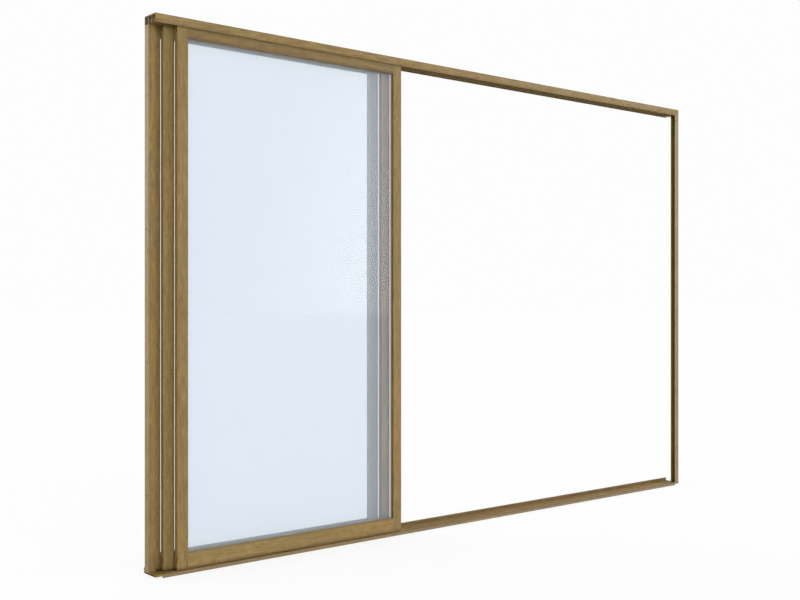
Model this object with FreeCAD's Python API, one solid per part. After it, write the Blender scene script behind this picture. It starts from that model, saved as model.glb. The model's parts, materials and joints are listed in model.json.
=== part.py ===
"""Three-track sliding glass door set with wood-grain slim frames.

Frame: +X along the door, +Y from the front to the back, +Z up, millimetres.
The origin is the middle of the underside of the whole set.
Three sashes hang one behind the other at the left end, which is the rest
position; each one slides towards +X in its own track.
"""
import FreeCAD
import Part
import os

Vector = FreeCAD.Vector

# ---- driving dimensions: fixed frame ----
WIDTH = 3228.0            # overall length of the frame
HEIGHT = 2100.0           # overall height, sill nose to head
FIN = 3.0                 # thickness of each fin between the tracks
CHANNEL = 24.0            # clear width of each track
TRACKS = 3
WEB = 4.0                 # thickness of the head's web
JAMB_WEB = 1.5            # thickness of the jambs' web
HEAD_HEIGHT = 33.5        # head profile, web and fins
JAMB_WIDTH = 31.0         # jamb channel, measured along X
FIN_EDGE = 0.8            # rounding of the fins' free edges

SILL_DROP = 7.5           # how far the nose hangs below the sill base
SILL_PLATE = 7.0          # thickness of the sill base
SILL_WALL = 1.3           # walls round the sill base's chambers
SILL_RIB = 4.5            # half the solid rib under each running rail
NOSE_HEIGHT = 15.0
UPSTAND_THICK = 6.0       # inner upstand along the back of the sill
UPSTAND_TOP = 29.5
UPSTAND_EDGE = 1.0
UPSTAND_SCREWS = 9
UPSTAND_SEAT = 3.0        # screw heads lie this deep in the upstand
PACKER_DEPTH = 16.0       # bearing strip under the back of the sill
RAIL_WIDTH = 6.0          # running rail under the rollers
RAIL_HEIGHT = 3.0
RAIL_SUNK = 2.0           # let into the sill base
RAIL_EDGE = 1.0
RAIL_INSET = 48.0         # running rail ends short of the frame's ends

# ---- driving dimensions: sashes ----
SASH_THICK = 21.0
SASH_BOTTOM = 20.0
HEAD_ENGAGEMENT = 18.0    # how far a sash reaches up between the head's fins
STILE = 45.5              # stile width
RAIL_FACE = 58.0          # height of the sash's top and bottom rails
END_GAP = 6.0             # frame end to sash edge
OVERLAP = 45.0            # neighbouring sashes when the door is closed
STAGGER = 44.0            # each sash stands this far inside the one behind
WALL = 2.0                # wall of the sash profiles
SLOT_WALL = 2.5           # wall behind the glazing slot
EDGE_RADIUS = 1.2
PORT_SETBACK = 2.0        # screw ports lie this far in front of mid thickness
PORT_BOSS = 3.8           # radius of the boss round a screw port
PORT_RIB = 1.6            # web that carries the boss
CAP_DEPTH = 10.0          # plugs in the ends of the stiles
CAP_GAP = 0.1

GLASS = 4.0
GLASS_FRONT = 14.75       # sash front face to glass
SLOT_DEPTH = 9.0
GASKET = 0.75             # rubber each side of the glass
GASKET_BASE = 1.0         # rubber under the glass edge
BEAD_WIDTH = 1.6          # visible front bead of the gasket
BEAD_THICK = 1.8
BACK_LIP = 1.6

BRUSH_LEFT = 18.0         # stile edge to the brush's base strip
BRUSH_BASE = (7.0, 1.0)   # width and thickness
BRUSH_PILE = (3.5, 4.2)
BRUSH_MARGIN = 6.0        # ends short of the sash and of the head

# ---- driving dimensions: running gear ----
ROLLER_RADIUS = 9.0
ROLLER_WIDTH = 7.0
ROLLER_RIM = 7.0          # recess in each side of a roller, rim and hub radius
ROLLER_HUB = 4.2
ROLLER_RECESS = 1.0
ROLLER_LIFT = 0.3         # running gap over the rail
ROLLER_INSET = 130.0      # sash edge to roller axis
AXLE_RADIUS = 2.5
AXLE_LENGTH = 13.0
ROLLER_CHANNEL = 15.0     # slot under the bottom rail for the roller brackets
ROLLER_ROOM = 18.0        # height of that slot
SHEET = 1.5               # bracket sheet thickness
FORK_LENGTH = 80.0
FORK_WIDTH = 14.0
FORK_CHEEK = 28.0
FORK_GAP = 0.7            # roller side to fork cheek
FORK_SCREW = 30.0         # roller axis to each bracket screw

GUIDE_INSET = 90.0        # sash edge to the middle of a top guide
GUIDE_LENGTH = 44.0
GUIDE_HEIGHT = 6.0
GUIDE_GAP = 0.5           # guide to fin, each side
GUIDE_CORNER = 5.0
PEG_RADIUS = 2.5
PEG_SPACING = 24.0
PEG_DEPTH = 7.0

# ---- driving dimensions: stops, brackets and screws ----
BUFFER = 4.0              # rubber pad on each end stop
BUFFER_RADIUS = 5.5
STOP_LENGTH = 20.0
STOP_WIDTH = 23.0
STOP_RISE = 5.0           # end stops stand this far above the fins' edges
STOP_POCKET = 10.0        # depth of the screw's pocket
STOP_GAP = 0.5            # buffer to sash at the end of its travel

BRACKET_HEIGHT = 60.0
BRACKET_FOOT = 26.0
BRACKET_WIDTH = 20.0
BRACKET_DROPS = (40.0, 53.0)  # screws down the bracket's long leg, clear of the head
BRACKET_REACH = 16.0      # screw along the bracket's foot

FIT = 0.05                # radial clearance of every fit
SCREW_RADIUS = 2.0
HEAD_RADIUS = 4.0
FLUSH_HEAD = 3.75         # countersunk head
FIXING_RADIUS = 3.0       # holes for the fixings into the building
FIXING_MARGIN = 250.0     # frame end to the first fixing hole
HEAD_FIXINGS = 4
JAMB_FIXING_HEIGHTS = (300.0, 800.0, 1300.0, 1800.0)

# ---- derived places ----
FRAME_DEPTH = TRACKS * CHANNEL + (TRACKS + 1) * FIN
DEPTH = FRAME_DEPTH + UPSTAND_THICK
LEFT = -WIDTH / 2
RIGHT = WIDTH / 2
FRONT = -DEPTH / 2
FRAME_BACK = FRONT + FRAME_DEPTH
BACK = DEPTH / 2
SILL_TOP = SILL_DROP + SILL_PLATE
FIN_BOTTOM = HEIGHT - HEAD_HEIGHT
HEAD_SOFFIT = HEIGHT - WEB
SASH_TOP = FIN_BOTTOM + HEAD_ENGAGEMENT
SASH_WIDTH = (WIDTH - 2 * END_GAP + 2 * OVERLAP) / TRACKS
PITCH = CHANNEL + FIN
SASH_INSET = (CHANNEL - SASH_THICK) / 2
MID = SASH_THICK / 2
PORT_Y = MID - PORT_SETBACK
SLOT_FRONT = GLASS_FRONT - GASKET
SLOT_BACK = GLASS_FRONT + GLASS + GASKET
STILE_ROOM = STILE - SLOT_DEPTH - SLOT_WALL  # far wall of the stile's chamber
DAYLIGHT_LOW = SASH_BOTTOM + RAIL_FACE
DAYLIGHT_HIGH = SASH_TOP - RAIL_FACE
PORTS_LOW = (SASH_BOTTOM + 30.0, SASH_BOTTOM + 41.0)
PORTS_HIGH = (SASH_TOP - 35.0, SASH_TOP - 19.0)
ROLLER_ROOF = SASH_BOTTOM + ROLLER_ROOM
AXLE_HEIGHT = SILL_TOP + RAIL_HEIGHT + ROLLER_LIFT + ROLLER_RADIUS
STOP_BOTTOM = FIN_BOTTOM + STOP_RISE
STOP_SEAT = STOP_BOTTOM + STOP_POCKET
OVERCUT = 1.0             # a cutting tool runs past the faces it opens

SASHES = ("front", "middle", "back")


def track_front(index):
    """Front of track number index, counted from the front of the frame."""
    return FRONT + FIN + index * PITCH


def track_middle(index):
    return track_front(index) + CHANNEL / 2


def sash_left(index):
    """Left edge of a sash at rest; the back one stands in the left jamb."""
    return LEFT + END_GAP + (TRACKS - 1 - index) * STAGGER


# ---- shape helpers ----
def box(x0, x1, y0, y1, z0, z1):
    """Box between two values along each axis, given in either order."""
    (x0, x1), (y0, y1), (z0, z1) = sorted((x0, x1)), sorted((y0, y1)), sorted((z0, z1))
    return Part.makeBox(x1 - x0, y1 - y0, z1 - z0, Vector(x0, y0, z0))


def rod(radius, length, start, axis):
    return Part.makeCylinder(radius, length, Vector(*start), Vector(*axis))


def fuse(shapes):
    return shapes[0].multiFuse(shapes[1:]).removeSplitter()


def cut(shape, tools):
    return shape.cut(Part.makeCompound(tools))


def mirror_x(shape, x_mid):
    return shape.mirror(Vector(x_mid, 0, 0), Vector(1, 0, 0))


def moved(shape, x, y):
    copy = shape.copy()
    copy.translate(Vector(x, y, 0))
    return copy


def runs_along(edge, axis, length):
    """True for a straight edge of that length along X, Y or Z."""
    size = (edge.BoundBox.XLength, edge.BoundBox.YLength, edge.BoundBox.ZLength)
    return abs(size["XYZ".index(axis)] - length) < 0.01 and abs(sum(size) - length) < 0.01


def soften(shape, axis, length, radius, at=lambda centre: True):
    """Round the long edges of a profile whose centre passes the test."""
    edges = [
        edge for edge in shape.Edges
        if runs_along(edge, axis, length) and at(edge.CenterOfMass)
    ]
    return shape.makeFillet(radius, edges)


def level_with(axis, value):
    """Test for soften: the edge lies at that value along the axis."""
    return lambda centre: abs(getattr(centre, axis) - value) < 0.01


def screw(seat, axis, length, head_height=3.0, head_radius=HEAD_RADIUS):
    """Pan-head screw: the head sits on seat and the shank runs along axis."""
    back = [-c for c in axis]
    top = Vector(*seat).add(Vector(*back).multiply(head_height))
    head = rod(head_radius, head_height, seat, back)
    shank = rod(SCREW_RADIUS, length, seat, axis)
    recess_depth = 0.4 * head_height
    recess = rod(0.8 * SCREW_RADIUS, recess_depth, tuple(top), axis)
    return fuse([head, shank]).cut(recess)


def flush_screw(face, axis, length, clearance=0.0):
    """Countersunk screw with its head level with the face, or room for one."""
    head = Part.makeCone(FLUSH_HEAD + clearance, SCREW_RADIUS + clearance, SHEET,
                         Vector(*face), Vector(*axis))
    shank = rod(SCREW_RADIUS + clearance, length, face, axis)
    return fuse([head, shank])


# ---- corner brackets of the fixed frame ----
def jamb_corners():
    """Middle of the track, end of the frame and inward direction of each jamb."""
    return ((track_middle(TRACKS - 1), LEFT, 1), (track_middle(0), RIGHT, -1))


def corner_levels():
    """Bracket level, direction along the jamb and depth to screw into, per corner."""
    return ((SILL_TOP, 1, SILL_PLATE), (HEAD_SOFFIT, -1, WEB))


def bracket_screws_at(y, end, inward, level, along, plate):
    """Face point, direction and length of the three screws of one bracket."""
    wall_x = end + inward * (JAMB_WEB + SHEET)
    places = [
        ((wall_x, y, level + along * drop), (-inward, 0, 0), JAMB_WEB) for drop in BRACKET_DROPS
    ]
    foot_x = end + inward * (JAMB_WEB + BRACKET_REACH)
    places.append(((foot_x, y, level + along * SHEET), (0, 0, -along), plate))
    margin = 0.3
    return [(face, axis, SHEET + depth - margin) for face, axis, depth in places]


def all_bracket_screws():
    return [
        place for corner in jamb_corners() for level in corner_levels()
        for place in bracket_screws_at(*corner, *level)
    ]


def bracket_holes():
    return [
        flush_screw(face, axis, length + OVERCUT, FIT)
        for face, axis, length in all_bracket_screws()
    ]


def corner_brackets():
    """Angles that tie each jamb to the head and to the sill."""
    brackets = []
    for y, end, inward in jamb_corners():
        for level, along, _ in corner_levels():
            side = (y - BRACKET_WIDTH / 2, y + BRACKET_WIDTH / 2)
            wall = end + inward * JAMB_WEB
            leg = box(wall, wall + inward * SHEET, *side, level, level + along * BRACKET_HEIGHT)
            foot = box(wall, wall + inward * BRACKET_FOOT, *side, level, level + along * SHEET)
            brackets.append(cut(fuse([leg, foot]), bracket_holes()))
    return brackets


def corner_bracket_screws():
    return [flush_screw(*place) for place in all_bracket_screws()]


# ---- end stops in the head ----
def stop_places():
    """Track index, x of the buffer's free face, and +1 or -1 towards the sash."""
    left_stops = [(i, sash_left(i) - STOP_GAP, 1) for i in (0, 1)]
    right_stops = [(i, RIGHT - END_GAP - i * STAGGER + STOP_GAP, -1) for i in (1, 2)]
    return left_stops + right_stops


def stop_screw_seat(index, face_x, towards):
    return (face_x - towards * (BUFFER + STOP_LENGTH / 2), track_middle(index), STOP_SEAT)


def end_stops():
    blocks = []
    for index, face_x, towards in stop_places():
        y_mid = track_middle(index)
        near = face_x - towards * BUFFER
        block = box(near, near - towards * STOP_LENGTH, y_mid - STOP_WIDTH / 2,
                    y_mid + STOP_WIDTH / 2, STOP_BOTTOM, HEAD_SOFFIT)
        block = soften(block, "X", STOP_LENGTH, 1.5, level_with("z", STOP_BOTTOM))
        x, y, _ = stop_screw_seat(index, face_x, towards)
        pocket = rod(HEAD_RADIUS + 0.3, STOP_POCKET + OVERCUT, (x, y, STOP_BOTTOM - OVERCUT),
                     (0, 0, 1))
        hole = rod(SCREW_RADIUS + FIT, HEAD_HEIGHT, (x, y, STOP_BOTTOM), (0, 0, 1))
        blocks.append(cut(block, [pocket, hole]))
    return blocks


def end_stop_screws():
    length = HEIGHT - STOP_SEAT - 0.5
    return [screw(stop_screw_seat(*stop), (0, 0, 1), length) for stop in stop_places()]


def stop_buffers():
    """Rubber pads on the end stops, facing the sashes."""
    pads = []
    for index, face_x, towards in stop_places():
        start = (face_x - towards * BUFFER, track_middle(index), STOP_BOTTOM + 6.5)
        pad = rod(BUFFER_RADIUS, BUFFER, start, (towards, 0, 0))
        free_rim = [edge for edge in pad.Edges if abs(edge.CenterOfMass.x - face_x) < 0.01]
        pads.append(pad.makeFillet(EDGE_RADIUS, free_rim))
    return pads


# ---- fixed frame ----
def head_fixings():
    """Fixing holes through the head's web, along the middle track."""
    step = (WIDTH - 2 * FIXING_MARGIN) / (HEAD_FIXINGS - 1)
    return [(LEFT + FIXING_MARGIN + i * step, track_middle(1)) for i in range(HEAD_FIXINGS)]


def head_track():
    web = box(LEFT, RIGHT, FRONT, FRAME_BACK, HEAD_SOFFIT, HEIGHT)
    fins = [
        box(LEFT, RIGHT, FRONT + i * PITCH, FRONT + i * PITCH + FIN, FIN_BOTTOM, HEAD_SOFFIT)
        for i in range(TRACKS + 1)
    ]
    profile = soften(fuse([web] + fins), "X", WIDTH, FIN_EDGE, level_with("z", FIN_BOTTOM))
    below = HEAD_SOFFIT - OVERCUT
    through = WEB + 2 * OVERCUT
    holes = [rod(FIXING_RADIUS, through, (x, y, below), (0, 0, 1)) for x, y in head_fixings()]
    for stop in stop_places():
        x, y, _ = stop_screw_seat(*stop)
        holes.append(rod(SCREW_RADIUS + FIT, through, (x, y, below), (0, 0, 1)))
    return cut(profile, holes + bracket_holes())


def sill_chambers():
    """Rooms in the sill base, two per track; the last is left solid for screws."""
    low = SILL_DROP + SILL_WALL
    high = SILL_TOP - SILL_WALL
    rooms = []
    for index in range(TRACKS):
        rib = track_middle(index)
        front = track_front(index)
        rooms.append(box(LEFT - OVERCUT, RIGHT + OVERCUT, front, rib - SILL_RIB, low, high))
        rooms.append(box(LEFT - OVERCUT, RIGHT + OVERCUT, rib + SILL_RIB, front + CHANNEL,
                         low, high))
    return rooms[:-1]


def sill_base():
    plate = box(LEFT, RIGHT, FRONT, FRAME_BACK, SILL_DROP, SILL_TOP)
    nose_rebate = box(LEFT + JAMB_WIDTH, RIGHT - JAMB_WIDTH, FRONT - OVERCUT, FRONT + FIN,
                      SILL_DROP - OVERCUT, SILL_TOP + OVERCUT)
    screw_depth = 13.0
    screw_holes = [
        rod(SCREW_RADIUS + FIT, screw_depth, (x, FRAME_BACK + OVERCUT, z), (0, -1, 0))
        for x, z in upstand_screw_points()
    ]
    return cut(plate, [nose_rebate] + running_rails() + sill_chambers() + screw_holes
               + bracket_holes())


def sill_front_nose():
    strip = box(LEFT + JAMB_WIDTH, RIGHT - JAMB_WIDTH, FRONT, FRONT + FIN, 0.0, NOSE_HEIGHT)
    return soften(strip, "X", WIDTH - 2 * JAMB_WIDTH, FIN_EDGE, level_with("y", FRONT))


def upstand_screw_points():
    step = (WIDTH - 2 * RAIL_INSET) / (UPSTAND_SCREWS - 1)
    z = SILL_DROP + SILL_PLATE / 2
    return [(LEFT + RAIL_INSET + i * step, z) for i in range(UPSTAND_SCREWS)]


def sill_back_upstand():
    leg = box(LEFT, RIGHT, FRAME_BACK, BACK, SILL_DROP, UPSTAND_TOP)
    leg = soften(leg, "X", WIDTH, UPSTAND_EDGE, level_with("z", UPSTAND_TOP))
    holes = []
    for x, z in upstand_screw_points():
        outside = (x, BACK + OVERCUT, z)
        holes.append(rod(HEAD_RADIUS - 0.6, UPSTAND_SEAT + OVERCUT, outside, (0, -1, 0)))
        holes.append(rod(SCREW_RADIUS + FIT, UPSTAND_THICK + 2 * OVERCUT, outside, (0, -1, 0)))
    return cut(leg, holes)


def upstand_screws():
    return [
        screw((x, BACK - UPSTAND_SEAT, z), (0, -1, 0), 14.0, 2.6, HEAD_RADIUS - 0.7)
        for x, z in upstand_screw_points()
    ]


def sill_rear_packer():
    return box(LEFT + JAMB_WIDTH, RIGHT - JAMB_WIDTH, BACK - PACKER_DEPTH, BACK, 0.0, SILL_DROP)


def running_rails():
    """Rails let into the sill base, with rounded crowns."""
    rails = []
    top = SILL_TOP + RAIL_HEIGHT
    for index in range(TRACKS):
        y_mid = track_middle(index)
        bar = box(LEFT + RAIL_INSET, RIGHT - RAIL_INSET, y_mid - RAIL_WIDTH / 2,
                  y_mid + RAIL_WIDTH / 2, SILL_TOP - RAIL_SUNK, top)
        rails.append(soften(bar, "X", WIDTH - 2 * RAIL_INSET, RAIL_EDGE, level_with("z", top)))
    return rails


def left_jamb():
    """U-channel that the back sash closes into."""
    y_mid = track_middle(TRACKS - 1)
    half = CHANNEL / 2
    mouth = LEFT + JAMB_WIDTH
    outside = box(LEFT, mouth, y_mid - half - FIN, y_mid + half + FIN, SILL_TOP, FIN_BOTTOM)
    room = box(LEFT + JAMB_WEB, mouth + OVERCUT, y_mid - half, y_mid + half, SILL_TOP - OVERCUT,
               FIN_BOTTOM + OVERCUT)

    def free_edge(centre):
        at_front_corner = abs(centre.x - LEFT) < 0.01 and centre.y < y_mid
        return at_front_corner or abs(centre.x - mouth) < 0.01

    channel = soften(outside.cut(room), "Z", FIN_BOTTOM - SILL_TOP, FIN_EDGE, free_edge)
    holes = [
        rod(FIXING_RADIUS, JAMB_WEB + 2 * OVERCUT, (LEFT - OVERCUT, y_mid, z), (1, 0, 0))
        for z in JAMB_FIXING_HEIGHTS
    ]
    return cut(channel, holes + bracket_holes())


def right_jamb():
    """The same channel at the other end, on the front track."""
    return moved(mirror_x(left_jamb(), 0.0), 0.0, -(TRACKS - 1) * PITCH)


# ---- one sash, with its left edge at x = 0 and its front face at y = 0 ----
def both_ends(shape):
    """A piece at the left end of the sash and its mirror image at the right."""
    return [shape, mirror_x(shape, SASH_WIDTH / 2)]


def left_stile():
    tall = box(0, STILE, 0, SASH_THICK, SASH_BOTTOM, SASH_TOP)

    def exposed(centre):
        return centre.x < 0.01 or centre.y < 0.01 or centre.y > SASH_THICK - 0.01

    tall = soften(tall, "Z", SASH_TOP - SASH_BOTTOM, EDGE_RADIUS, exposed)
    ends = (SASH_BOTTOM - OVERCUT, SASH_TOP + OVERCUT)
    slot_x = STILE - SLOT_DEPTH
    slot_margin = 40.0
    room = [
        box(WALL, STILE_ROOM, WALL, SASH_THICK - WALL, *ends),
        box(slot_x - 0.5, STILE - WALL, WALL, SLOT_FRONT - WALL, *ends),
        box(slot_x, STILE + OVERCUT, SLOT_FRONT, SLOT_BACK, SASH_BOTTOM + slot_margin,
            SASH_TOP - slot_margin),
    ]
    for z in PORTS_LOW + PORTS_HIGH:
        room.append(rod(HEAD_RADIUS + 0.75, WALL + OVERCUT, (-OVERCUT, PORT_Y, z), (1, 0, 0)))
        room.append(rod(SCREW_RADIUS + FIT, 20.0, (STILE_ROOM - 6.0, PORT_Y, z), (1, 0, 0)))
    return cut(tall, room)


def corner_screws():
    length = 36.0
    screws = []
    for z in PORTS_LOW + PORTS_HIGH:
        screws += both_ends(screw((STILE_ROOM, PORT_Y, z), (1, 0, 0), length))
    return screws


def stile_caps():
    """Plastic plugs that close the ends of the hollow stiles."""
    edge = WALL + CAP_GAP
    caps = []
    for z in (SASH_BOTTOM, SASH_TOP - CAP_DEPTH):
        caps += both_ends(box(edge, STILE_ROOM - CAP_GAP, edge, SASH_THICK - edge,
                              z, z + CAP_DEPTH))
    return caps


def rail_body(low, high, chamber, slot, ports):
    """Hollow rail between the stiles, with its glazing slot and screw ports."""
    x0 = STILE
    x1 = SASH_WIDTH - STILE
    ends = (x0 - OVERCUT, x1 + OVERCUT)
    body = soften(box(x0, x1, 0, SASH_THICK, low, high), "X", x1 - x0, EDGE_RADIUS)
    hollow = box(*ends, WALL, SASH_THICK - WALL, *chamber)
    tools = [box(*ends, SLOT_FRONT, SLOT_BACK, *slot)]
    for z in ports:
        start = (ends[0], PORT_Y, z)
        length = ends[1] - ends[0]
        rib = box(*ends, 0, SASH_THICK, z - PORT_RIB / 2, z + PORT_RIB / 2)
        hollow = hollow.cut(fuse([rod(PORT_BOSS, length, start, (1, 0, 0)), rib]))
        tools.append(rod(SCREW_RADIUS + FIT, length, start, (1, 0, 0)))
    return cut(body, tools + [hollow])


def top_rail():
    slot = (DAYLIGHT_HIGH - OVERCUT, DAYLIGHT_HIGH + SLOT_DEPTH)
    chamber = (slot[1] + WALL, SASH_TOP - WALL)
    rail = rail_body(DAYLIGHT_HIGH, SASH_TOP, chamber, slot, PORTS_HIGH)
    holes = [
        rod(PEG_RADIUS + FIT, PEG_DEPTH + 2 * OVERCUT, (x, MID, SASH_TOP - PEG_DEPTH - OVERCUT),
            (0, 0, 1))
        for x in peg_places()
    ]
    return cut(rail, holes)


def bottom_rail():
    slot = (DAYLIGHT_LOW - SLOT_DEPTH, DAYLIGHT_LOW + OVERCUT)
    chamber = (ROLLER_ROOF + WALL, slot[0] - WALL)
    rail = rail_body(SASH_BOTTOM, DAYLIGHT_LOW, chamber, slot, PORTS_LOW)
    underside = box(STILE - OVERCUT, SASH_WIDTH - STILE + OVERCUT, MID - ROLLER_CHANNEL / 2,
                    MID + ROLLER_CHANNEL / 2, SASH_BOTTOM - OVERCUT, ROLLER_ROOF)
    holes = [
        rod(SCREW_RADIUS + FIT, 6.0, (x, MID, ROLLER_ROOF - OVERCUT), (0, 0, 1))
        for x in bracket_screw_places()
    ]
    return cut(rail, [underside] + holes)


def roller_places():
    return (ROLLER_INSET, SASH_WIDTH - ROLLER_INSET)


def bracket_screw_places():
    return [x + side * FORK_SCREW for x in roller_places() for side in (-1, 1)]


def roller_brackets():
    """Sheet-metal forks that carry the rollers under the bottom rail."""
    forks = []
    inner = ROLLER_WIDTH / 2 + FORK_GAP
    cheek_bottom = SASH_BOTTOM + SHEET
    for x in roller_places():
        plate = box(x - FORK_LENGTH / 2, x + FORK_LENGTH / 2, MID - FORK_WIDTH / 2,
                    MID + FORK_WIDTH / 2, ROLLER_ROOF - SHEET, ROLLER_ROOF)
        cheeks = [
            box(x - FORK_CHEEK / 2, x + FORK_CHEEK / 2, MID + side * inner,
                MID + side * (inner + SHEET), cheek_bottom, ROLLER_ROOF)
            for side in (-1, 1)
        ]
        tools = [rod(AXLE_RADIUS + FIT, SASH_THICK, (x, 0, AXLE_HEIGHT), (0, 1, 0))]
        for side in (-1, 1):
            tools.append(rod(SCREW_RADIUS + FIT, 10.0,
                             (x + side * FORK_SCREW, MID, ROLLER_ROOF - 5.0), (0, 0, 1)))
        forks.append(cut(fuse([plate] + cheeks), tools))
    return forks


def roller_bracket_screws():
    return [
        screw((x, MID, ROLLER_ROOF - SHEET), (0, 0, 1), 7.0, 2.5, HEAD_RADIUS - 0.4)
        for x in bracket_screw_places()
    ]


def roller_axles():
    start = MID - AXLE_LENGTH / 2
    return [
        rod(AXLE_RADIUS, AXLE_LENGTH, (x, start, AXLE_HEIGHT), (0, 1, 0))
        for x in roller_places()
    ]


def roller(x):
    """Turned wheel with a recess round the hub on each side."""
    near = MID - ROLLER_WIDTH / 2
    wheel = rod(ROLLER_RADIUS, ROLLER_WIDTH, (x, near, AXLE_HEIGHT), (0, 1, 0))
    wheel = wheel.makeFillet(FIN_EDGE, [edge for edge in wheel.Edges if edge.Closed])
    tools = [rod(AXLE_RADIUS + FIT, SASH_THICK, (x, 0, AXLE_HEIGHT), (0, 1, 0))]
    for y in (near - OVERCUT, near + ROLLER_WIDTH - ROLLER_RECESS):
        depth = ROLLER_RECESS + OVERCUT
        rim = rod(ROLLER_RIM, depth, (x, y, AXLE_HEIGHT), (0, 1, 0))
        hub = rod(ROLLER_HUB, depth, (x, y, AXLE_HEIGHT), (0, 1, 0))
        tools.append(rim.cut(hub))
    return cut(wheel, tools)


def guide_places():
    return (GUIDE_INSET, SASH_WIDTH - GUIDE_INSET)


def peg_places():
    return [x + side * PEG_SPACING / 2 for x in guide_places() for side in (-1, 1)]


def top_guides():
    """Nylon blocks that steer the sash between the head's fins."""
    half_width = CHANNEL / 2 - GUIDE_GAP
    blocks = []
    for x in guide_places():
        block = box(x - GUIDE_LENGTH / 2, x + GUIDE_LENGTH / 2, MID - half_width,
                    MID + half_width, SASH_TOP, SASH_TOP + GUIDE_HEIGHT)
        block = soften(block, "Z", GUIDE_HEIGHT, GUIDE_CORNER)
        pegs = [
            rod(PEG_RADIUS, PEG_DEPTH + OVERCUT, (x + side * PEG_SPACING / 2, MID,
                                                  SASH_TOP - PEG_DEPTH), (0, 0, 1))
            for side in (-1, 1)
        ]
        blocks.append(fuse([block] + pegs))
    return blocks


def glass_pane():
    inset = STILE - SLOT_DEPTH + GASKET_BASE
    reach = SLOT_DEPTH - GASKET_BASE
    return box(inset, SASH_WIDTH - inset, GLASS_FRONT, GLASS_FRONT + GLASS,
               DAYLIGHT_LOW - reach, DAYLIGHT_HIGH + reach)


def daylight_ring(outset, inset, y0, y1):
    """Rectangular ring around the daylight opening of the sash."""
    x0 = STILE
    x1 = SASH_WIDTH - STILE
    outer = box(x0 - outset, x1 + outset, y0, y1, DAYLIGHT_LOW - outset, DAYLIGHT_HIGH + outset)
    inner = box(x0 + inset, x1 - inset, y0 - OVERCUT, y1 + OVERCUT, DAYLIGHT_LOW + inset,
                DAYLIGHT_HIGH - inset)
    return outer.cut(inner)


def glazing_gasket():
    """Wrap-round rubber: it seats the glass edge and shows a slim front bead."""
    seat = daylight_ring(SLOT_DEPTH, 0.0, SLOT_FRONT, SLOT_BACK)
    bead = daylight_ring(0.0, BEAD_WIDTH, GLASS_FRONT - BEAD_THICK, GLASS_FRONT)
    lip = daylight_ring(0.0, BACK_LIP, GLASS_FRONT + GLASS, SLOT_BACK)
    return fuse([seat, bead, lip]).cut(glass_pane())


def interlock_brush():
    """Pile strip on the back of a left stile, against the sash behind."""
    z0 = SASH_BOTTOM + BRUSH_MARGIN
    z1 = FIN_BOTTOM - BRUSH_MARGIN
    width, thick = BRUSH_BASE
    base = box(BRUSH_LEFT, BRUSH_LEFT + width, SASH_THICK, SASH_THICK + thick, z0, z1)
    pile_width, pile_height = BRUSH_PILE
    pile_x = BRUSH_LEFT + (width - pile_width) / 2
    pile = box(pile_x, pile_x + pile_width, SASH_THICK + thick,
               SASH_THICK + thick + pile_height, z0, z1)
    return fuse([base, pile])


# ---- files ----
def write(name, solids):
    whole = Part.makeCompound(solids) if len(solids) > 1 else solids[0]
    assert whole.isValid(), name
    whole.exportStep("parts/" + name + ".step")


def frame_pieces():
    return {
        "head_track": [head_track()],
        "sill_base": [sill_base()],
        "sill_front_nose": [sill_front_nose()],
        "sill_back_upstand": [sill_back_upstand()],
        "sill_rear_packer": [sill_rear_packer()],
        "sill_upstand_screws": upstand_screws(),
        "running_rails": running_rails(),
        "left_jamb": [left_jamb()],
        "right_jamb": [right_jamb()],
        "corner_brackets": corner_brackets(),
        "corner_bracket_screws": corner_bracket_screws(),
        "end_stops": end_stops(),
        "end_stop_screws": end_stop_screws(),
        "stop_buffers": stop_buffers(),
    }


def sash_pieces():
    stiles = both_ends(left_stile())
    rollers = [roller(x) for x in roller_places()]
    return {
        "left_stile": [stiles[0]],
        "right_stile": [stiles[1]],
        "top_rail": [top_rail()],
        "bottom_rail": [bottom_rail()],
        "glass": [glass_pane()],
        "glazing_gasket": [glazing_gasket()],
        "corner_screws": corner_screws(),
        "stile_caps": stile_caps(),
        "roller_brackets": roller_brackets(),
        "roller_bracket_screws": roller_bracket_screws(),
        "roller_axles": roller_axles(),
        "left_roller": [rollers[0]],
        "right_roller": [rollers[1]],
        "top_guides": top_guides(),
        "interlock_brush": [interlock_brush()],
    }


def main():
    os.makedirs("parts", exist_ok=True)
    for name, solids in frame_pieces().items():
        write(name, solids)
    pieces = sash_pieces()
    for index, sash in enumerate(SASHES):
        x = sash_left(index)
        y = track_front(index) + SASH_INSET
        for name, solids in pieces.items():
            if name == "interlock_brush" and index == TRACKS - 1:
                continue  # nothing stands behind the back sash
            write(sash + "_sash_" + name, [moved(solid, x, y) for solid in solids])


main()
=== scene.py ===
"""Looks of the three-track sliding glass door set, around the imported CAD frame."""
import json
import math
import random

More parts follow.
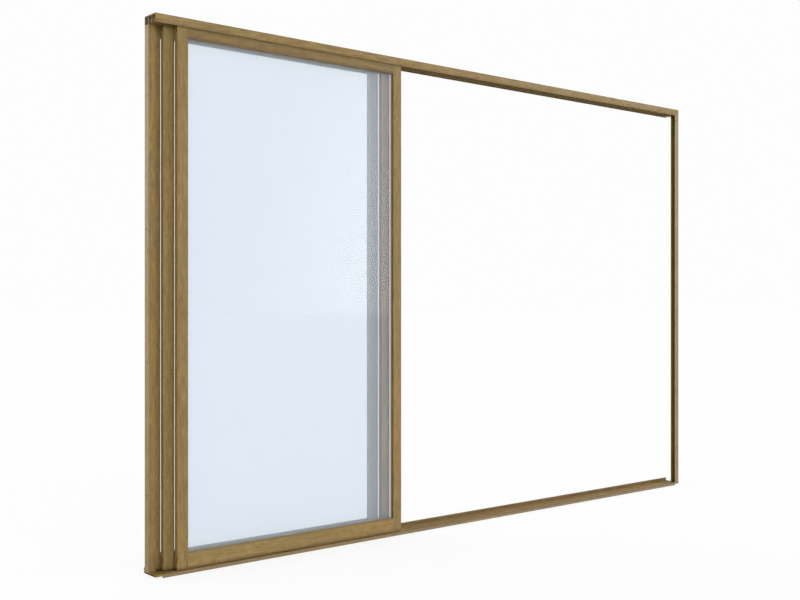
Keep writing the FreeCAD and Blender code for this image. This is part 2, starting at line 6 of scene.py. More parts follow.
import bmesh
import bpy
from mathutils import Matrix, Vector


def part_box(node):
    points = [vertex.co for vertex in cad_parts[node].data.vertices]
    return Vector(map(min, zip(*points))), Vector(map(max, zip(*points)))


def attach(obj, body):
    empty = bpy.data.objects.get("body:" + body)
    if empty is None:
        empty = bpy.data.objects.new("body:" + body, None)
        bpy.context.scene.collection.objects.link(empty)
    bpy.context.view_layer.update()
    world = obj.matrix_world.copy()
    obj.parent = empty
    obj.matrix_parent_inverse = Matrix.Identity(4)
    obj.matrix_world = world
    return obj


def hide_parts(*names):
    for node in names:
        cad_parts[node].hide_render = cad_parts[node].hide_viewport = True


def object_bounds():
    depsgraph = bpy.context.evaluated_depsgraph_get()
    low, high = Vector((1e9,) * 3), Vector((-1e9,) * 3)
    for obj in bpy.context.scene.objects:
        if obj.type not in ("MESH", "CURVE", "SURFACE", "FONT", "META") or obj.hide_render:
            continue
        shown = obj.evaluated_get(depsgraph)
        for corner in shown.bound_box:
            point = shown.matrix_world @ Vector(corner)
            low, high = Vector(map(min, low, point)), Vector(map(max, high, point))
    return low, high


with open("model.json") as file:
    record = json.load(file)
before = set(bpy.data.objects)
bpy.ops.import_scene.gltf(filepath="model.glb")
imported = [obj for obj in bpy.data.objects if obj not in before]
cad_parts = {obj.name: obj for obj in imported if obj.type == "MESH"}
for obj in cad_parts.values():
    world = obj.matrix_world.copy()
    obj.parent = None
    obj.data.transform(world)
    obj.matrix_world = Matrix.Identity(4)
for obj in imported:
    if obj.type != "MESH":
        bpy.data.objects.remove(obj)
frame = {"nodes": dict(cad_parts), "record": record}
cad_box = [list(corner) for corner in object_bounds()]

SASHES = ("front", "middle", "back")
X, Z = 0, 2               # numbers of the axes along the frame and up
scene = bpy.context.scene

# ---- camera ----
CAMERA_LEFT = 1.910       # metres beyond the left end of the frame
CAMERA_AHEAD = 3.670      # metres in front of the frame's face
CAMERA_HEIGHT = 1.035
CAMERA_TURN = 49.86       # degrees from +X to the line of sight
CAMERA_REACH = 200.0      # metres to the far clipping plane
LENS = 49.08              # millimetres, on the sensor below
SENSOR = 36.0


def add_camera():
    """A level camera in front of the frame's left end."""
    data = bpy.data.cameras.new("camera")
    data.lens = LENS
    data.sensor_width = SENSOR
    data.clip_end = CAMERA_REACH
    camera = bpy.data.objects.new("camera", data)
    left, face, _ = cad_box[0]
    camera.location = (left - CAMERA_LEFT, face - CAMERA_AHEAD, CAMERA_HEIGHT)
    camera.rotation_euler = (math.radians(90.0), 0.0, math.radians(CAMERA_TURN - 90.0))
    scene.collection.objects.link(camera)
    scene.camera = camera


# ---- node helpers ----
MIX_A, MIX_B = 6, 7       # colour inputs of a Mix node
MIX_RESULT = 2            # its colour output


class Nodes:
    """A node tree with short ways to add and join nodes."""

    def __init__(self, tree):
        self.tree = tree

    def add(self, kind, **settings):
        node = self.tree.nodes.new(kind)
        for key, value in settings.items():
            setattr(node, key, value)
        return node

    def join(self, source, target):
        self.tree.links.new(source, target)

    def value(self, socket, source):
        """Sets an input from a number, a tuple or another node's output."""
        if isinstance(source, bpy.types.NodeSocket):
            self.join(source, socket)
        else:
            socket.default_value = source

    def math(self, operation, *sources):
        node = self.add("ShaderNodeMath", operation=operation)
        for socket, source in zip(node.inputs, sources):
            self.value(socket, source)
        return node.outputs[0]

    def ramp(self, source, stops):
        """Colours between stops, each a place from 0 to 1 and a colour."""
        node = self.add("ShaderNodeValToRGB")
        elements = node.color_ramp.elements
        while len(elements) < len(stops):
            elements.new(0.5)          # the loop below moves it
        for element, (place, colour) in zip(elements, stops):
            element.position = place
            element.color = (*colour, 1.0)
        self.join(source, node.inputs[0])
        return node.outputs[0]

    def remap(self, source, from_low, from_high, to_low=0.0, to_high=1.0):
        """A smooth step from to_low to to_high."""
        node = self.add("ShaderNodeMapRange", interpolation_type="SMOOTHSTEP")
        for socket, number in zip(node.inputs[1:5], (from_low, from_high, to_low, to_high)):
            socket.default_value = number
        self.join(source, node.inputs[0])
        return node.outputs[0]

    def mix(self, factor, base, colour, blend="MIX"):
        """Lays a colour over another node's output."""
        node = self.add("ShaderNodeMix", data_type="RGBA", blend_type=blend)
        self.value(node.inputs[0], factor)
        self.join(base, node.inputs[MIX_A])
        node.inputs[MIX_B].default_value = (*colour, 1.0)
        return node.outputs[MIX_RESULT]

    def axes(self):
        """The three object coordinates, which are the CAD frame's at rest."""
        split = self.add("ShaderNodeSeparateXYZ")
        self.join(self.add("ShaderNodeTexCoord").outputs["Object"], split.inputs[0])
        return split.outputs

    def coordinates(self, scale=(1.0, 1.0, 1.0), offset=(0.0, 0.0, 0.0)):
        """Object coordinates, scaled and then moved."""
        source = self.add("ShaderNodeTexCoord").outputs["Object"]
        mapping = self.add("ShaderNodeMapping")
        mapping.inputs["Scale"].default_value = scale
        mapping.inputs["Location"].default_value = offset
        self.join(source, mapping.inputs["Vector"])
        return mapping.outputs["Vector"]

    def noise(self, vector, scale, detail, roughness, distortion=0.0):
        node = self.add("ShaderNodeTexNoise")
        node.inputs["Scale"].default_value = scale
        node.inputs["Detail"].default_value = detail
        node.inputs["Roughness"].default_value = roughness
        node.inputs["Distortion"].default_value = distortion
        self.join(vector, node.inputs["Vector"])
        return node.outputs["Fac"]

    def bump(self, height, strength, distance, below=None):
        """A normal from a height, over that of a coarser bump below."""
        node = self.add("ShaderNodeBump")
        node.inputs["Strength"].default_value = strength
        node.inputs["Distance"].default_value = distance
        self.join(height, node.inputs["Height"])
        if below is not None:
            self.join(below, node.inputs["Normal"])
        return node.outputs["Normal"]


class Shader(Nodes):
    """The node tree of a new material."""

    def __init__(self, name):
        self.material = bpy.data.materials.new(name)
        self.material.use_nodes = True
        super().__init__(self.material.node_tree)
        self.bsdf = self.tree.nodes["Principled BSDF"]

    def put(self, name, source):
        """Sets an input of the shader itself."""
        self.value(self.bsdf.inputs[name], source)


def edge_mask(shader, corners, width):
    """1 along the outer edges of a box-shaped piece, 0 on its faces."""
    near = []
    for axis, lowest, highest in zip(shader.axes(), *corners):
        from_low = shader.math("ABSOLUTE", shader.math("SUBTRACT", axis, lowest))
        from_high = shader.math("ABSOLUTE", shader.math("SUBTRACT", axis, highest))
        gap = shader.math("MINIMUM", from_low, from_high)
        near.append(shader.remap(gap, 0.0, width, 1.0, 0.0))
    pairs = [shader.math("MULTIPLY", near[a], near[b]) for a, b in ((0, 1), (0, 2), (1, 2))]
    return shader.math("MAXIMUM", shader.math("MAXIMUM", pairs[0], pairs[1]), pairs[2])


CORE_BLUR = 0.05          # share of the skin over which the mask below fades


def core_mask(shader, corners, skin):
    """1 deeper than skin below the front, back, top and bottom of a profile, else 0."""
    deep = []
    for axis, lowest, highest in list(zip(shader.axes(), *corners))[1:]:
        gap = shader.math("MINIMUM", shader.math("SUBTRACT", axis, lowest),
                          shader.math("SUBTRACT", highest, axis))
        deep.append(shader.remap(gap, (1.0 - CORE_BLUR) * skin, (1.0 + CORE_BLUR) * skin))
    return shader.math("MULTIPLY", *deep)


# ---- oak ----
OAK_DARK = (0.118, 0.070, 0.016)
OAK_MID = (0.203, 0.130, 0.036)
OAK_PALE = (0.272, 0.190, 0.068)
OAK_WARM = (0.252, 0.138, 0.036)
OAK_GREEN = (0.178, 0.135, 0.036)
# colour of the pores, and of the painted shade along edges
OAK_PORE_AND_SHADE = (0.071, 0.041, 0.011)
CHAMBER_SHADE = (0.030, 0.024, 0.014)  # painted shade inside the sill's chambers, near black
SKIN = 0.0012             # wall outside that painted shade
# painted light and shade: brightness of the boards that differ, by the first ending that fits
BOARD_LIGHT_AND_SHADE = {
    "middle_sash_top_rail": 1.16, "back_sash_top_rail": 1.16, "top_rail": 0.79,
    "middle_sash_bottom_rail": 1.20, "back_sash_bottom_rail": 1.20, "bottom_rail": 1.11,
    "front_nose": 0.84, "back_upstand": 0.82,
}
OAK_GLOSS = 0.30
BOARD_GLOSSES = {"sill_base": 0.04, "sill_front_nose": 0.66, "right_jamb": 0.46}
CUT_SPREAD = 20.0         # how far from the middle of the figure a board may be cut
FIRST_SEED = 11
SEED_STEP = 7

# scale of each space that the figure is laid out in, across the grain and along it
OAK_SPACES = {
    "board": (1.0, 0.045), "patch": (3.2, 2.4), "fleck": (1.0, 0.16), "fibre": (1.0, 0.02),
    "pore": (1.0, 0.07),
}
# noise of each layer: its space, scale, detail, roughness and distortion
OAK_LAYERS = {
    "tone": ("board", 38.0, 2.0, 0.5, 0.4),
    "streak": ("board", 150.0, 4.0, 0.62, 0.6),
    "patch": ("patch", 1.0, 2.0, 0.5, 0.3),
    "fleck": ("fleck", 120.0, 4.0, 0.65, 0.3),
    "fibre": ("fibre", 1400.0, 3.0, 0.6, 0.0),
    "vein": ("fibre", 620.0, 1.0, 0.4, 0.0),
    "pore": ("pore", 1900.0, 1.0, 0.4, 0.0),
}
OAK_RINGS = {"Scale": 26.0, "Distortion": 9.0, "Detail": 2.0, "Detail Scale": 1.4}
# ground colour over the streaks
OAK_GROUND = ((0.28, OAK_DARK), (0.46, OAK_MID), (0.62, OAK_MID), (0.80, OAK_PALE))
PORES = (0.61, 0.68)      # where the pore noise starts and is full
# tints over the ground: layer, where it starts and is full, strength, colour
OAK_TINTS = (
    ("rings", 0.25, 0.95, 0.32, OAK_DARK),
    ("tone", 0.50, 0.72, 0.55, OAK_PALE),
    ("patch", 0.52, 0.70, 0.45, OAK_WARM),
    ("patch", 0.48, 0.30, 0.40, OAK_GREEN),
    ("fleck", 0.50, 0.68, 0.80, OAK_DARK),
    ("fleck", 0.48, 0.30, 0.75, OAK_PALE),
    ("fibre", 0.35, 0.65, 0.26, OAK_PALE),
    ("vein", 0.58, 0.74, 0.30, OAK_DARK),
    ("pore", *PORES, 0.60, OAK_PORE_AND_SHADE),
)
WORN_WIDTH = 0.0016       # of the pale wear along the boards' edges
# what the streaks turn into: their lower and upper value, and the result at each
WEAR = (0.35, 0.65, 0.15, 0.75)
OAK_ROUGHNESS = (0.3, 0.7, 0.46, 0.58)
PORE_ROUGHNESS = 0.18     # added in the pores
FIBRE_HEIGHT = 0.35       # of the fibres, to the pores' depth of 1
FINE_BUMP = (0.16, 0.00012)        # strength and distance
STREAK_BUMP = (0.10, 0.0004)

# painted shade along edges, darker towards them: the name's ending, axis, end of the box (0
# low, 1 high), reach, strength
EDGE_SHADE = (
    ("head_track", X, 0, 0.004, 0.80),
    ("head_track", Z, 0, 0.011, 0.36),
    ("sill_front_nose", Z, 1, 0.007, 0.50),
    ("stile", Z, 0, 0.015, 0.46),
    ("rail", Z, 0, 0.015, 0.46),
    ("bottom_rail", Z, 1, 0.007, 0.30),
    ("left_stile", X, 1, 0.010, 0.26),
    ("right_stile", X, 0, 0.004, 0.26),
)
UNDER_HEAD_SHADE = (0.016, 0.45)         # reach and strength of the painted shade on the sashes below the head


def painted_shade_bands(node):
    """Where an oak part is painted darker, as shade: (axis, from, to, strength) of each band.
    """
    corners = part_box(node)
    bands = []
    for ending, axis, end, reach, strength in EDGE_SHADE:
        if node.endswith(ending):
            edge = corners[end][axis]
            inside = edge - reach if end else edge + reach
            bands.append((axis, inside, edge, strength))
    if "_sash_" in node:
        head_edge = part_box("head_track")[0][Z]
        reach, strength = UNDER_HEAD_SHADE
        bands.append((Z, head_edge - reach, head_edge, strength))
    return bands


def oak_layers(shader, along, offset):
    """The layers of an oak figure whose grain runs along one axis, by name."""
    spaces = {}
    for name, (across, lengthwise) in OAK_SPACES.items():
        scale = [across] * 3
        scale[along] = lengthwise
        place = offset[::-1] if name == "fibre" else offset
        spaces[name] = shader.coordinates(scale, place)
    layers = {}
    for name, (space, *numbers) in OAK_LAYERS.items():
        layers[name] = shader.noise(spaces[space], *numbers)
    rings = shader.add("ShaderNodeTexWave", wave_type="BANDS",
                       bands_direction="Y" if along == X else "X")
    for socket, number in OAK_RINGS.items():
        rings.inputs[socket].default_value = number
    shader.join(spaces["board"], rings.inputs["Vector"])
    layers["rings"] = rings.outputs["Fac"]
    return layers


def oak(node, along, seed, light_and_shade, gloss):
    """Brushed oak with the grain along one axis, and its own cut for each seed."""
    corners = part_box(node)
    shader = Shader("oak_" + node)
    pick = random.Random(seed)
    offset = [pick.uniform(-CUT_SPREAD, CUT_SPREAD) for _ in range(3)]
    layers = oak_layers(shader, along, offset)

    base = shader.ramp(layers["streak"], OAK_GROUND)
    for layer, start, full, strength, colour in OAK_TINTS:
        base = shader.mix(shader.remap(layers[layer], start, full, 0.0, strength), base, colour)
    worn = shader.math("MULTIPLY", edge_mask(shader, corners, WORN_WIDTH),
                       shader.remap(layers["streak"], *WEAR))
    base = shader.mix(worn, base, OAK_PALE)
    # painted light and shade: the whole board lighter or darker by how light falls on it
    base = shader.mix(1.0, base, (light_and_shade,) * 3, "MULTIPLY")
    # painted shade: near black inside the sill's chambers
    if node == "sill_base":
        base = shader.mix(core_mask(shader, corners, SKIN), base, CHAMBER_SHADE)
    # painted shade: each band darkens the board towards its edge, in the colour of the pores
    for axis, start, end, strength in painted_shade_bands(node):
        painted_shade = shader.remap(shader.axes()[axis], start, end, 0.0, strength)
        base = shader.mix(painted_shade, base, OAK_PORE_AND_SHADE)
    shader.put("Base Color", base)

    pore = shader.remap(layers["pore"], *PORES)
    rough = shader.math("ADD", shader.remap(layers["streak"], *OAK_ROUGHNESS),
                        shader.math("MULTIPLY", pore, PORE_ROUGHNESS))
    shader.put("Roughness", rough)
    height = shader.math("SUBTRACT", shader.math("MULTIPLY", layers["fibre"], FIBRE_HEIGHT),
                         pore)
    fine = shader.bump(height, *FINE_BUMP)
    shader.put("Normal", shader.bump(layers["streak"], *STREAK_BUMP, fine))
    shader.put("Specular IOR Level", gloss)
    return shader.material


# ---- plastics, rubber, paint and metals ----
DRAWN_STRETCH = 0.03      # scale along the marks of drawn metal
FINE_SHARE = 0.6          # of the fine noise; the cloudy one has the rest
CLOUD_SCALE = 0.07        # of the cloudy noise, to the fine one's
FINE_NOISE = (3.0, 0.6)   # detail and roughness
CLOUD_NOISE = (2.0, 0.5)
SPECKLE_ENDS = (0.34, 0.66)        # noise at the darkest and the lightest
ROUGHNESS_ENDS = (0.3, 0.7)
ROUGHNESS_SPREAD = 0.07
SPECKLE_BUMP = 0.4        # strength

# look of each slot: the material's name, its two tones, and how they lie
SPECKLED = {
    "gasket_rubber": dict(name="gasket_rubber", dark=(0.235, 0.220, 0.195),
                          light=(0.305, 0.290, 0.260), roughness=0.62, scale=900.0,
                          depth=0.00005),
    "black_plastic": dict(name="dark_nylon", dark=(0.032, 0.028, 0.024),
                          light=(0.050, 0.044, 0.038), roughness=0.50, scale=700.0,
                          depth=0.00004),
    "roller_nylon": dict(name="roller_nylon", dark=(0.62, 0.59, 0.52),
                         light=(0.74, 0.71, 0.64), roughness=0.38, scale=600.0,
                         depth=0.00003),
    "zinc_steel": dict(name="zinc_sheet", dark=(0.50, 0.50, 0.49), light=(0.66, 0.66, 0.64),
                       roughness=0.34, scale=260.0, depth=0.00003, metallic=1.0),
    "screw_steel": dict(name="screw_steel", dark=(0.48, 0.47, 0.45), light=(0.62, 0.61, 0.58),
                        roughness=0.28, scale=500.0, depth=0.00002, metallic=1.0),
    "rail_steel": dict(name="rail_steel", dark=(0.24, 0.158, 0.060),
                       light=(0.34, 0.225, 0.093), roughness=0.38, scale=500.0,
                       depth=0.00002, metallic=1.0, drawn_along=X),
    "dark_bracket": dict(name="dark_bracket", dark=(0.050, 0.036, 0.014),
                         light=(0.072, 0.054, 0.024), roughness=0.75, scale=800.0,
                         depth=0.00005, gloss=0.03),
    "brush_pile": dict(name="brush_pile", dark=(0.060, 0.055, 0.048),
                       light=(0.13, 0.12, 0.105), roughness=0.85, scale=1500.0,
                       depth=0.0003),
}


def speckled(name, dark, light, roughness, scale, depth, metallic=0.0, drawn_along=None,
             gloss=0.5):
    """Fine two-tone surface, with long marks along one axis if it was drawn."""
    shader = Shader(name)
    stretch = [1.0, 1.0, 1.0]
    if drawn_along is not None:
        stretch[drawn_along] = DRAWN_STRETCH
    space = shader.coordinates(stretch)
    fine = shader.noise(space, scale, *FINE_NOISE)
    cloud = shader.noise(space, scale * CLOUD_SCALE, *CLOUD_NOISE)
    both = shader.math("MULTIPLY_ADD", fine, FINE_SHARE,
                       shader.math("MULTIPLY", cloud, 1.0 - FINE_SHARE))
    shader.put("Base Color", shader.ramp(both, list(zip(SPECKLE_ENDS, (dark, light)))))
    shader.put("Roughness", shader.remap(both, *ROUGHNESS_ENDS, roughness - ROUGHNESS_SPREAD,
                                         roughness + ROUGHNESS_SPREAD))
    shader.put("Metallic", metallic)
    shader.put("Specular IOR Level", gloss)
    shader.put("Normal", shader.bump(fine, SPECKLE_BUMP, depth))
    return shader.material


# ---- glass ----
GLASS_VEIL = 0.120        # of each of a pane's two faces
GLASS_IOR = 1.50
GLASS_FILM = (2.2, 3.0, 0.55, 0.5)      # noise of a faint film, as in OAK_LAYERS
GLASS_TINTS = ((0.30, (0.520, 0.638, 0.762)), (0.70, (0.528, 0.646, 0.770)))
GLASS_ROUGHNESS = (0.3, 0.7, 0.04, 0.07)    # what the film turns into


def pane_glass():
    """Pale blue glass that veils what stands behind it."""
    shader = Shader("pane_glass")
    film = shader.noise(shader.coordinates(), *GLASS_FILM)
    shader.put("Base Color", shader.ramp(film, GLASS_TINTS))
    shader.put("Roughness", shader.remap(film, *GLASS_ROUGHNESS))
    shader.put("Alpha", GLASS_VEIL)
    shader.put("IOR", GLASS_IOR)
    shader.material.surface_render_method = "BLENDED"
    return shader.material


# ---- finishes on the CAD nodes ----
FINISHES = {}             # material of each slot, apart from the oak ones


def dress(node, material):
    """Gives a CAD node one material."""
    mesh = frame["nodes"][node].data
    mesh.materials.clear()
    mesh.materials.append(material)


def dress_all():
    """Gives each CAD node its finish, and each oak board a cut of its own."""
    for slot, look in SPECKLED.items():
        FINISHES[slot] = speckled(**look)
    FINISHES["clear_glass"] = pane_glass()
    seed = FIRST_SEED
    for part in frame["record"]["subparts"]:
        node = part["node"]
        slot = part["material_slot"]
        if slot in FINISHES:
            dress(node, FINISHES[slot])
            continue
        seed += SEED_STEP
        along = X if slot.endswith("horizontal") else Z
        # the board's painted light and shade
        tone = next((BOARD_LIGHT_AND_SHADE[end] for end in BOARD_LIGHT_AND_SHADE if node.endswith(end)), 1.0)
        gloss = BOARD_GLOSSES.get(node, OAK_GLOSS)
        dress(node, oak(node, along, seed, tone, gloss))


# ---- pieces in place of plain CAD solids ----
SMOOTH_UNDER = math.radians(35.0)


def add_piece(name, vertices, faces, node, slot, body):
    """A closed mesh that stands for a CAD node and rides on its body."""
    mesh = bpy.data.meshes.new(name)
    mesh.from_pydata(vertices, [], faces)
    made = bmesh.new()
    made.from_mesh(mesh)
    bmesh.ops.recalc_face_normals(made, faces=made.faces)
    made.to_mesh(mesh)
    made.free()
    mesh.shade_smooth()
    mesh.set_sharp_from_angle(angle=SMOOTH_UNDER)
    mesh.materials.append(FINISHES[slot])
    piece = bpy.data.objects.new(name, mesh)
    scene.collection.objects.link(piece)
    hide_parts(node)
    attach(piece, body)


def join_rings(rings):
    """Quads between each ring of vertex numbers and the next, all of one length."""
    faces = []
    for ring, other in zip(rings, rings[1:]):
        for i, _ in enumerate(ring):
            j = (i + 1) % len(ring)
            faces.append((ring[i], ring[j], other[j], other[i]))
    return faces


# ---- glazing gaskets ----
BEAD = 0.0016             # how far the rubber shows over the glass
BEAD_STEPS = 7
BEAD_TOE = 0.00025        # thickness of the bead where it meets the glass


def add_gasket(sash):
    """Rubber wedge round the glass, mitred at the daylight corners."""
    node = sash + "_sash_glazing_gasket"
    seat_low, seat_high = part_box(node)
    pane_low, pane_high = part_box(sash + "_sash_glass")
    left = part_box(sash + "_sash_left_stile")[1][X]
    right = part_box(sash + "_sash_right_stile")[0][X]
    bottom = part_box(sash + "_sash_bottom_rail")[1][Z]
    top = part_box(sash + "_sash_top_rail")[0][Z]
    depth = left - seat_low[0]
    under_edge = left - pane_low[0]
    cushion = seat_high[1] - pane_high[1]
    glass_front, glass_back = pane_low[1], pane_high[1]
    bead_front = seat_low[1]
    toe = glass_front - BEAD_TOE

    # points of the section: (reach over the glass from the daylight edge, y)
    profile = [(-depth, glass_front - cushion), (-BEAD_TOE, glass_front - cushion)]
    for step in range(BEAD_STEPS + 1):
        angle = math.pi / 2 * step / BEAD_STEPS
        profile.append((BEAD * math.sin(angle), toe + (bead_front - toe) * math.cos(angle)))
    profile += [(BEAD - BEAD_TOE, glass_front), (-under_edge, glass_front),
                (-under_edge, glass_back), (BEAD - BEAD_TOE, glass_back),
                (BEAD, glass_back + BEAD_TOE), (BEAD - 2 * BEAD_TOE, seat_high[1]),
                (-depth, seat_high[1])]
    # daylight corners, with the direction towards the glass along x and z
    corners = ((left, bottom, 1, 1), (right, bottom, -1, 1), (right, top, -1, -1),
               (left, top, 1, -1))
    vertices = [
        (x + in_x * reach, y, z + in_z * reach)
        for x, z, in_x, in_z in corners for reach, y in profile
    ]
    count = len(profile)
    rings = [range(start, start + count) for start in range(0, len(vertices), count)]
    add_piece(sash + "_sash_gasket_wedge", vertices, join_rings(rings + rings[:1]), node,
              "gasket_rubber", sash + "_sash")


# ---- brush strips ----
BRUSH_BACKING = 0.001     # thickness of the strip that carries the pile
BRUSH_FIN = 0.00025       # thickness of the film in the middle of the pile
FIN_HEIGHT = 0.9          # of that film, to the pile's full height
PILE_WIDTH = 0.0035
PILE_ROWS = 5
PILE_PITCH = 0.0009
PILE_JITTER = 0.3         # most that a tuft is out of step, in pitches
PILE_RADIUS = 0.00034
PILE_LEAN = 0.00045
PILE_SUNK = 0.0003
SHORTEST_TUFT = 0.86      # to the pile's full height
BRUSH_SEED = 40


def box_mesh(lowest, highest, first):
    """Vertices and faces of a box, numbered from first."""
    corners = [(x, y, z) for x in (lowest[0], highest[0]) for y in (lowest[1], highest[1])
               for z in (lowest[2], highest[2])]
    sides = ((0, 1, 3, 2), (4, 6, 7, 5), (0, 4, 5, 1), (2, 3, 7, 6), (0, 2, 6, 4), (1, 5, 7, 3))
    return corners, [tuple(first + i for i in side) for side in sides]


def add_brush(sash, seed):
    """Pile strip: a backing, a film and rows of tapered tufts."""
    node = sash + "_sash_interlock_brush"
    lowest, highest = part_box(node)
    pick = random.Random(seed)
    middle = (lowest[0] + highest[0]) / 2
    root = lowest[1] + BRUSH_BACKING
    height = highest[1] - root
    vertices, faces = box_mesh(lowest, (highest[0], root, highest[2]), 0)
    film = box_mesh((middle - BRUSH_FIN / 2, root - PILE_SUNK, lowest[2]),
                    (middle + BRUSH_FIN / 2, root + FIN_HEIGHT * height, highest[2]),
                    len(vertices))
    vertices += film[0]
    faces += film[1]
    margin = PILE_RADIUS + PILE_LEAN
    tufts = int((highest[2] - lowest[2] - 2 * margin) / PILE_PITCH)
    spread = PILE_WIDTH - 2 * PILE_RADIUS
    for row in range(PILE_ROWS):
        x_row = middle - spread / 2 + spread * row / (PILE_ROWS - 1)
        for tuft in range(tufts):
            z = lowest[2] + margin + tuft * PILE_PITCH
            z += pick.uniform(0.0, PILE_JITTER) * PILE_PITCH
            turn = pick.uniform(0.0, 2.0 * math.pi)
            first = len(vertices)
            for corner in range(3):
                angle = turn + corner * 2.0 * math.pi / 3.0
                vertices.append((x_row + PILE_RADIUS * math.cos(angle), root - PILE_SUNK,
                                 z + PILE_RADIUS * math.sin(angle)))
            vertices.append((x_row + pick.uniform(-1.0, 1.0) * PILE_LEAN,
                             root + height * pick.uniform(SHORTEST_TUFT, 1.0),
                             z + pick.uniform(-1.0, 1.0) * PILE_LEAN))
            a, b, c, tip = range(first, first + 4)
            faces += [(a, b, c), (a, tip, b), (b, tip, c), (c, tip, a)]
    add_piece(sash + "_sash_brush_tufts", vertices, faces, node, "brush_pile", sash + "_sash")


# ---- turned pieces: screws and buffers ----
TURN_STEPS = 24
MICRON = 1e-6             # vertices of a CAD node this close are the same one
RIM = 0.97                # share of a screw head's radius where its rim starts

SHANK = 0.002             # radius of every screw's shank
TIP_LENGTH = 0.001
TIP_SHARE = 0.5           # radius of the tip's flat end, to the shank's
DRIVE = 0.0014            # radius of the hexagonal socket
DRIVE_SIDES = 6
DRIVE_DEPTH = 0.0011
DRIVE_POINT = 0.0004      # depth of the drilled point below the socket
HEAD_EDGE = 0.0001        # chamfer round a head's face
COUNTERSINK = 0.0015      # depth of the bracket screws' heads
BUTTON_HEIGHT = 0.0025    # of the other screws' heads
# a button head's crown: depth below its face, and share of its radius
BUTTON_CROWN = ((HEAD_EDGE, 0.62), (0.0006, 0.86), (0.0014, 1.0), (BUTTON_HEIGHT, 1.0))


def islands(node):
    """The vertices of each separate solid of a CAD node."""
    mesh = frame["nodes"][node].data
    keys = [tuple(round(c / MICRON) for c in vertex.co) for vertex in mesh.vertices]
    parent = {key: key for key in keys}

    def root(key):
        while parent[key] != key:
            parent[key] = parent[parent[key]]
            key = parent[key]
        return key

    for polygon in mesh.polygons:
        first, *others = [root(keys[i]) for i in polygon.vertices]
        for other in others:
            parent[root(other)] = root(first)
    groups = {}
    for key in sorted(parent):
        groups.setdefault(root(key), []).append(Vector(key) * MICRON)
    return [groups[key] for key in sorted(groups)]


def turned(start, axis, rings, vertices, faces):
    """Adds a turned solid; rings are (distance along axis, radius, sides or 0)."""
    across = axis.orthogonal().normalized()
    other = axis.cross(across)
    loops = []
    for distance, radius, sides in rings:
        loop = []
        for step in range(TURN_STEPS if radius else 1):
            angle = 2.0 * math.pi * step / TURN_STEPS
            reach = radius
            if sides:
                sector = 2.0 * math.pi / sides
                reach *= math.cos(sector / 2) / math.cos(angle % sector - sector / 2)
            loop.append(len(vertices))
            vertices.append(tuple(start + axis * distance + across * reach * math.cos(angle)
                                  + other * reach * math.sin(angle)))
        loops.append(loop)
    for loop, following in zip(loops, loops[1:]):
        for step in range(TURN_STEPS):
            after = (step + 1) % TURN_STEPS
            if len(loop) == 1:
                faces.append((loop[0], following[step], following[after]))
            elif len(following) == 1:
                faces.append((loop[step], following[0], loop[after]))
            else:
                faces.append((loop[step], following[step], following[after], loop[after]))


def extent(points):
    """The lowest and highest corners of some points."""
    return (Vector(min(point[i] for point in points) for i in range(3)),
            Vector(max(point[i] for point in points) for i in range(3)))


def screw_rings(length, head, countersink):
    """Rings of a screw from its socket's floor, over the head, to its tip."""
    rings = [(DRIVE_DEPTH + DRIVE_POINT, 0.0, 0), (DRIVE_DEPTH, DRIVE, DRIVE_SIDES),
             (0.0, DRIVE, DRIVE_SIDES)]
    if countersink:
        rings += [(0.0, head - HEAD_EDGE, 0), (HEAD_EDGE, head, 0), (countersink, SHANK, 0)]
    else:
        rings += [(depth, share * head, 0) for depth, share in BUTTON_CROWN]
        rings.append((BUTTON_HEIGHT, SHANK, 0))
    return rings + [(length - TIP_LENGTH, SHANK, 0), (length, TIP_SHARE * SHANK, 0),
                    (length, 0.0, 0)]


def add_screws(node, body, countersink=0.0):
    """Hexagon-socket screws, each where the CAD has one."""
    vertices, faces = [], []
    for points in islands(node):
        lowest, highest = extent(points)
        size = highest - lowest
        centre = (lowest + highest) / 2
        width = sorted(size)[1]
        along = max(range(3), key=lambda i: abs(size[i] - width))
        head = width / 2

        rim = []
        for point in points:
            away = point - centre
            away[along] = 0.0
            if away.length > RIM * head:
                rim.append(point[along])
        at_top = sum(rim) / len(rim) > centre[along]
        axis = Vector((0.0, 0.0, 0.0))
        axis[along] = -1.0 if at_top else 1.0
        start = centre.copy()
        start[along] = highest[along] if at_top else lowest[along]
        turned(start, axis, screw_rings(size[along], head, countersink), vertices, faces)
    slot = next(part["material_slot"] for part in frame["record"]["subparts"]
                if part["node"] == node)
    add_piece(node + "_turned", vertices, faces, node, slot, body)


BUFFER_EDGE = 0.0002      # chamfer where a buffer meets its stop
# a buffer's side and rim: share of its thickness, and inset from its radius
BUFFER_SIDE = ((0.35, 0.0), (0.45, 0.0005), (0.60, 0.0005), (0.85, 0.0008), (0.97, 0.0017),
               (1.0, 0.0027))
# the dimple in its face: share of its thickness, and share of its radius
BUFFER_DIMPLE = ((0.94, 0.4), (0.86, 0.0))


def add_buffers():
    """Rubber pads with a raised rim and a dimple, on the end stops."""
    vertices, faces = [], []
    for points in islands("stop_buffers"):
        lowest, highest = extent(points)
        towards = -1.0 if lowest[X] > 0.0 else 1.0
        thick = highest[X] - lowest[X]
        radius = (highest[Z] - lowest[Z]) / 2
        start = (lowest + highest) / 2
        start[X] = lowest[X] if towards > 0.0 else highest[X]
        rings = [(0.0, 0.0, 0), (0.0, radius - BUFFER_EDGE, 0), (BUFFER_EDGE, radius, 0)]
        rings += [(share * thick, radius - inset, 0) for share, inset in BUFFER_SIDE]
        rings += [(share * thick, part * radius, 0) for share, part in BUFFER_DIMPLE]
        turned(start, Vector((towards, 0.0, 0.0)), rings, vertices, faces)
    add_piece("stop_buffers_turned", vertices, faces, "stop_buffers", "gasket_rubber", "frame")


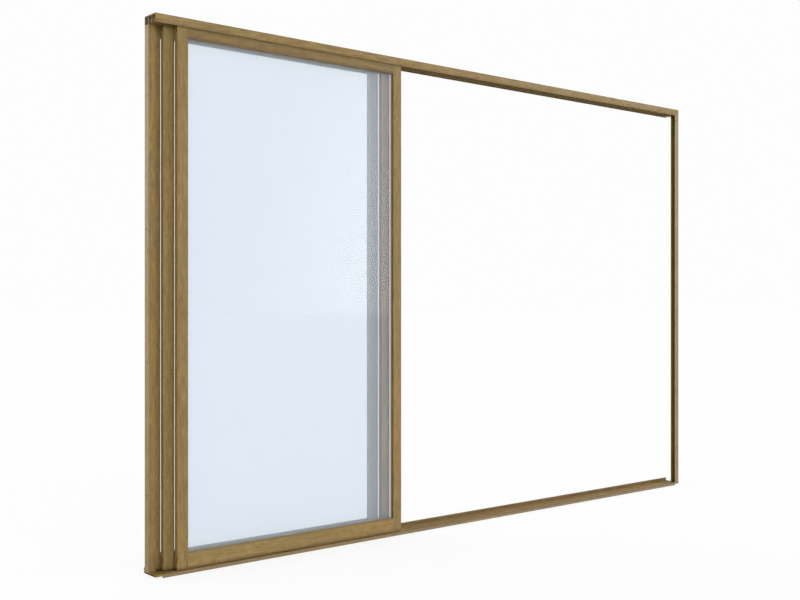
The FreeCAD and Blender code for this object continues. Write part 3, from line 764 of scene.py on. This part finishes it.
def add_details():
    """Every piece that stands for a plain CAD solid."""
    for number, sash in enumerate(SASHES):
        add_gasket(sash)
        if sash != "back":
            add_brush(sash, BRUSH_SEED + number)
        body = sash + "_sash"
        add_screws(body + "_corner_screws", body)
        add_screws(body + "_roller_bracket_screws", body)
    add_screws("sill_upstand_screws", "frame")
    add_screws("end_stop_screws", "frame")
    add_screws("corner_bracket_screws", "frame", COUNTERSINK)
    add_buffers()


# ---- studio ----
HORIZON_LIGHT = 0.985
ZENITH_LIGHT = 0.62
SIDE_LIGHT = 3.00         # extra light from behind the door's left end, to the horizon's
HAZE_LIGHT = 4.80         # extra light from in front of its right end, likewise
# parts of the wall that differ: direction, the cosine of the angle from it where each
# starts and is full, and its light there to the horizon's
WALL_LIGHTS = (
    ((0.0, 0.0, 1.0), 0.30, 1.0, ZENITH_LIGHT / HORIZON_LIGHT),
    ((-0.56, 0.83, 0.0), 0.60, 0.97, 1.0 + SIDE_LIGHT),
    ((0.81, -0.59, 0.0), 0.92, 0.985, 1.0 + HAZE_LIGHT),
)
KEY_LIGHT = 1.06
KEY_SPREAD = math.radians(55.0)    # how wide the soft sun looks
KEY_TURN = (math.radians(74.0), 0.0, math.radians(-8.0))   # low, from the front
FLOOR_GLOW = 0.830
FLOOR_TONE = 0.15
FLOOR_ROUGHNESS = 0.9
FLOOR_REACH = 60.0


def add_world():
    """White all round at eye level, dimmer overhead, brighter behind the left end and in
    front of the right end."""
    world = bpy.data.worlds.new("studio")
    world.use_nodes = True
    scene.world = world
    nodes = Nodes(world.node_tree)
    direction = nodes.add("ShaderNodeTexCoord").outputs["Generated"]
    strength = HORIZON_LIGHT
    for axis, start, full, light in WALL_LIGHTS:
        share = nodes.add("ShaderNodeVectorMath", operation="DOT_PRODUCT")
        share.inputs[1].default_value = axis
        nodes.join(direction, share.inputs[0])
        shade = nodes.remap(share.outputs["Value"], start, full, 1.0, light)
        strength = nodes.math("MULTIPLY", shade, strength)
    background = nodes.tree.nodes["Background"]
    background.inputs["Color"].default_value = (1.0, 1.0, 1.0, 1.0)
    nodes.join(strength, background.inputs["Strength"])


def add_floor():
    """A nearly white floor, which glows so that it meets the wall without an edge."""
    mesh = bpy.data.meshes.new("floor")
    reach = FLOOR_REACH
    mesh.from_pydata([(-reach, -reach, 0), (reach, -reach, 0), (reach, reach, 0),
                      (-reach, reach, 0)], [], [(0, 1, 2, 3)])
    floor = bpy.data.objects.new("floor", mesh)
    scene.collection.objects.link(floor)
    shader = Shader("floor")
    shader.put("Base Color", (FLOOR_TONE, FLOOR_TONE, FLOOR_TONE, 1.0))
    shader.put("Roughness", FLOOR_ROUGHNESS)
    shader.put("Specular IOR Level", 0.0)
    shader.put("Emission Color", (1.0, 1.0, 1.0, 1.0))
    shader.put("Emission Strength", FLOOR_GLOW)
    mesh.materials.append(shader.material)


def add_key_light():
    """One wide soft sun."""
    data = bpy.data.lights.new("key", "SUN")
    data.energy = KEY_LIGHT
    data.angle = KEY_SPREAD
    key = bpy.data.objects.new("key", data)
    key.rotation_euler = KEY_TURN
    scene.collection.objects.link(key)


def add_studio():
    add_world()
    add_floor()
    add_key_light()
    scene.view_settings.view_transform = "Standard"


add_camera()
dress_all()
add_details()
add_studio()
